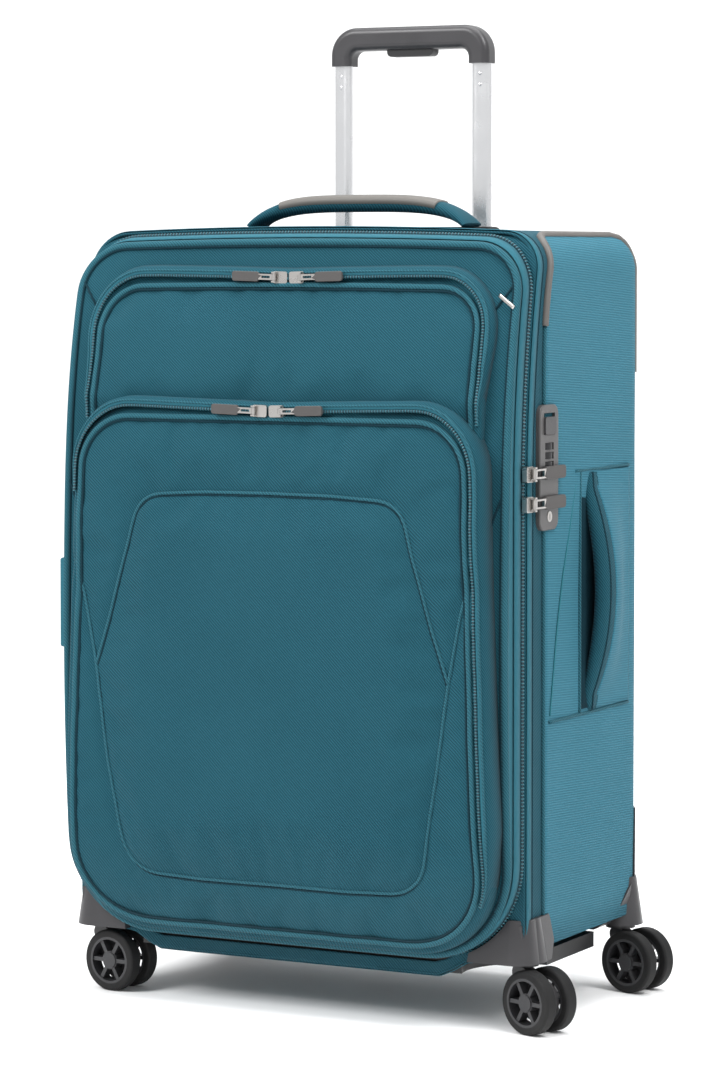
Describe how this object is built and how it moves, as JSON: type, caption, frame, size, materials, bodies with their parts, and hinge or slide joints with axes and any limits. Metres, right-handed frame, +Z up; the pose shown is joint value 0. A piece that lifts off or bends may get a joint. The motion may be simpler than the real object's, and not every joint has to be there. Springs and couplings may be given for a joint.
{
  "type": "softside upright suitcase",
  "caption": "Softside upright suitcase with a hinged zip lid, front pockets, telescopic trolley, combination lock and twin-wheel spinner casters.",
  "frame": {"origin": "on the floor under the middle of the case", "axes": "+Z up along the case's height, -Y out of the lid's front, +X towards the side with the lock and the side handle"},
  "size_m": [0.4779, 0.2979, 0.852],
  "materials": {
    "badge_metal": "satin, blank",
    "black_plastic": "fine grain",
    "bright_aluminium": "bright anodised",
    "dark_grey_plastic": "fine grain, satin",
    "dark_lining": "plain woven lining, matte",
    "grey_rubber": "matte",
    "lock_plastic": "satin",
    "silver_metal": "satin plated",
    "steel": "plain",
    "teal_fabric": "woven polyester twill, matte",
    "teal_fabric_side": "woven polyester twill, matte",
    "tyre_rubber": "matte",
    "zip_tape": "zip coil and tape"
  },
  "bodies": {
    "case": {"front_rim": "teal_fabric", "back_panel": "teal_fabric", "side_panel_right": "teal_fabric_side", "side_panel_left": "teal_fabric_side", "top_panel": "teal_fabric", "base_panel": "teal_fabric", "front_wheel_housings": "dark_grey_plastic", "rear_wheel_guards": "dark_grey_plastic", "back_board": "dark_lining", "bottom_tray": "black_plastic", "tray_screws": "steel", "trolley_outer_tubes": "bright_aluminium", "trolley_bezel": "black_plastic", "trolley_bracket": "black_plastic", "top_handle": "teal_fabric_side", "side_handle": "teal_fabric_side", "lock_plate": "lock_plastic"},
    "trolley_middle": {"trolley_middle_tubes": "bright_aluminium"},
    "trolley_inner": {"trolley_inner_tubes": "bright_aluminium", "trolley_grip": "dark_grey_plastic"},
    "release_button": {"release_button": "dark_grey_plastic"},
    "lid": {"lid_panel": "teal_fabric", "zip_chain": "zip_tape", "upper_pocket": "teal_fabric", "lower_pocket": "teal_fabric", "badge_plate": "badge_metal"},
    "lock_release": {"lock_release": "silver_metal"},
    "lock_key_cylinder": {"lock_key_cylinder": "silver_metal"},
    "lock_dial_lower": {"lock_dial_lower": "lock_plastic"},
    "lock_dial_middle": {"lock_dial_middle": "lock_plastic"},
    "lock_dial_upper": {"lock_dial_upper": "lock_plastic"},
    "caster_front_right": {"caster_fork_front_right": "dark_grey_plastic"},
    "wheels_front_right": {"caster_axle_front_right": "steel", "wheel_hubs_front_right": "dark_grey_plastic", "wheel_tyres_front_right": "tyre_rubber"},
    "caster_front_left": {"caster_fork_front_left": "dark_grey_plastic"},
    "wheels_front_left": {"caster_axle_front_left": "steel", "wheel_hubs_front_left": "dark_grey_plastic", "wheel_tyres_front_left": "tyre_rubber"},
    "caster_rear_right": {"caster_fork_rear_right": "dark_grey_plastic"},
    "wheels_rear_right": {"caster_axle_rear_right": "steel", "wheel_hubs_rear_right": "dark_grey_plastic", "wheel_tyres_rear_right": "tyre_rubber"},
    "caster_rear_left": {"caster_fork_rear_left": "dark_grey_plastic"},
    "wheels_rear_left": {"caster_axle_rear_left": "steel", "wheel_hubs_rear_left": "dark_grey_plastic", "wheel_tyres_rear_left": "tyre_rubber"},
    "slider_main_upper": {"slider_main_upper": "silver_metal"},
    "pull_main_upper": {"pull_main_upper": "grey_rubber"},
    "slider_main_lower": {"slider_main_lower": "silver_metal"},
    "pull_main_lower": {"pull_main_lower": "grey_rubber"},
    "slider_upper_pocket_right": {"slider_upper_pocket_right": "silver_metal"},
    "pull_upper_pocket_right": {"pull_upper_pocket_right": "grey_rubber"},
    "slider_upper_pocket_left": {"slider_upper_pocket_left": "silver_metal"},
    "pull_upper_pocket_left": {"pull_upper_pocket_left": "grey_rubber"},
    "slider_lower_pocket_right": {"slider_lower_pocket_right": "silver_metal"},
    "pull_lower_pocket_right": {"pull_lower_pocket_right": "grey_rubber"},
    "slider_lower_pocket_left": {"slider_lower_pocket_left": "silver_metal"},
    "pull_lower_pocket_left": {"pull_lower_pocket_left": "grey_rubber"}
  },
  "joints": [
    {"name": "lid_hinge", "type": "hinge", "parent": "case", "child": "lid", "pos_m": [-0.2225, -0.101, 0.36], "axis": [0, 0, -1], "range_deg": [0, 165]},
    {"name": "trolley_middle_slide", "type": "slide", "parent": "case", "child": "trolley_middle", "axis": [0, 0, 1], "range_m": [0, 0.19]},
    {"name": "trolley_inner_slide", "type": "slide", "parent": "trolley_middle", "child": "trolley_inner", "axis": [0, 0, 1], "range_m": [-0.165, 0.02]},
    {"name": "release_button_press", "type": "slide", "parent": "trolley_inner", "child": "release_button", "axis": [0, 0, 1], "range_m": [0, 0.004], "stiffness_N_per_m": 400, "springref_m": -0.002},
    {"name": "lock_release_slide", "type": "slide", "parent": "case", "child": "lock_release", "axis": [0, 0, 1], "range_m": [0, 0.003], "stiffness_N_per_m": 300, "springref_m": -0.002},
    {"name": "lock_key_turn", "type": "hinge", "parent": "case", "child": "lock_key_cylinder", "pos_m": [0.219, -0.0615, 0.429], "axis": [1, 0, 0], "range_deg": [0, 90]},
    {"name": "lock_dial_lower_turn", "type": "hinge", "parent": "case", "child": "lock_dial_lower", "pos_m": [0.2125, -0.0615, 0.47225], "axis": [0, 0, 1], "continuous": true},
    {"name": "lock_dial_middle_turn", "type": "hinge", "parent": "case", "child": "lock_dial_middle", "pos_m": [0.2125, -0.0615, 0.48], "axis": [0, 0, 1], "continuous": true},
    {"name": "lock_dial_upper_turn", "type": "hinge", "parent": "case", "child": "lock_dial_upper", "pos_m": [0.2125, -0.0615, 0.48775], "axis": [0, 0, 1], "continuous": true},
    {"name": "caster_front_right_swivel", "type": "hinge", "parent": "case", "child": "caster_front_right", "pos_m": [0.2046, -0.08, 0.058], "axis": [0, 0, 1], "continuous": true},
    {"name": "wheels_front_right_roll", "type": "hinge", "parent": "caster_front_right", "child": "wheels_front_right", "pos_m": [0.22245, -0.0865, 0.027], "axis": [0.342, 0.9397, 0], "continuous": true},
    {"name": "caster_front_left_swivel", "type": "hinge", "parent": "case", "child": "caster_front_left", "pos_m": [-0.2046, -0.08, 0.058], "axis": [0, 0, 1], "continuous": true},
    {"name": "wheels_front_left_roll", "type": "hinge", "parent": "caster_front_left", "child": "wheels_front_left", "pos_m": [-0.18579, -0.08264, 0.027], "axis": [0.1392, 0.9903, 0], "continuous": true},
    {"name": "caster_rear_right_swivel", "type": "hinge", "parent": "case", "child": "caster_rear_right", "pos_m": [0.2046, 0.1218, 0.058], "axis": [0, 0, 1], "continuous": true},
    {"name": "wheels_rear_right_roll", "type": "hinge", "parent": "caster_rear_right", "child": "wheels_rear_right", "pos_m": [0.22304, 0.1172, 0.027], "axis": [0.2419, 0.9703, 0], "continuous": true},
    {"name": "caster_rear_left_swivel", "type": "hinge", "parent": "case", "child": "caster_rear_left", "pos_m": [-0.2046, 0.1218, 0.058], "axis": [0, 0, 1], "continuous": true},
    {"name": "wheels_rear_left_roll", "type": "hinge", "parent": "caster_rear_left", "child": "wheels_rear_left", "pos_m": [-0.18602, 0.11785, 0.027], "axis": [0.2079, 0.9781, 0], "continuous": true},
    {"name": "slider_main_upper_run", "type": "slide", "parent": "case", "child": "slider_main_upper", "axis": [0, 0.0599, 0.9982], "range_m": [0, 0.1]},
    {"name": "slider_main_lower_run", "type": "slide", "parent": "case", "child": "slider_main_lower", "axis": [0, 0, -1], "range_m": [0, 0.28]},
    {"name": "pull_main_upper_flip", "type": "hinge", "parent": "slider_main_upper", "child": "pull_main_upper", "pos_m": [0.222, -0.097, 0.466], "axis": [0, 0, -1], "range_deg": [0, 140]},
    {"name": "pull_main_lower_flip", "type": "hinge", "parent": "slider_main_lower", "child": "pull_main_lower", "pos_m": [0.222, -0.097, 0.441], "axis": [0, 0, -1], "range_deg": [0, 140]},
    {"name": "slider_upper_pocket_right_run", "type": "slide", "parent": "lid", "child": "slider_upper_pocket_right", "axis": [0.9996, 0, 0.03], "range_m": [0, 0.12]},
    {"name": "pull_upper_pocket_right_flip", "type": "hinge", "parent": "slider_upper_pocket_right", "child": "pull_upper_pocket_right", "pos_m": [0.0125, -0.117, 0.62813], "axis": [0.03, 0, -0.9996], "range_deg": [0, 140]},
    {"name": "slider_upper_pocket_left_run", "type": "slide", "parent": "lid", "child": "slider_upper_pocket_left", "axis": [-0.9996, 0, 0.03], "range_m": [0, 0.12]},
    {"name": "pull_upper_pocket_left_flip", "type": "hinge", "parent": "slider_upper_pocket_left", "child": "pull_upper_pocket_left", "pos_m": [-0.0125, -0.117, 0.62813], "axis": [0.03, 0, 0.9996], "range_deg": [0, 140]},
    {"name": "slider_lower_pocket_right_run", "type": "slide", "parent": "lid", "child": "slider_lower_pocket_right", "axis": [0.9996, 0, 0.03], "range_m": [0, 0.12]},
    {"name": "pull_lower_pocket_right_flip", "type": "hinge", "parent": "slider_lower_pocket_right", "child": "pull_lower_pocket_right", "pos_m": [0.0125, -0.153, 0.51614], "axis": [0.03, 0, -0.9996], "range_deg": [0, 140]},
    {"name": "slider_lower_pocket_left_run", "type": "slide", "parent": "lid", "child": "slider_lower_pocket_left", "axis": [-0.9996, 0, 0.03], "range_m": [0, 0.12]},
    {"name": "pull_lower_pocket_left_flip", "type": "hinge", "parent": "slider_lower_pocket_left", "child": "pull_lower_pocket_left", "pos_m": [-0.0125, -0.153, 0.51614], "axis": [0.03, 0, 0.9996], "range_deg": [0, 140]}
  ]
}
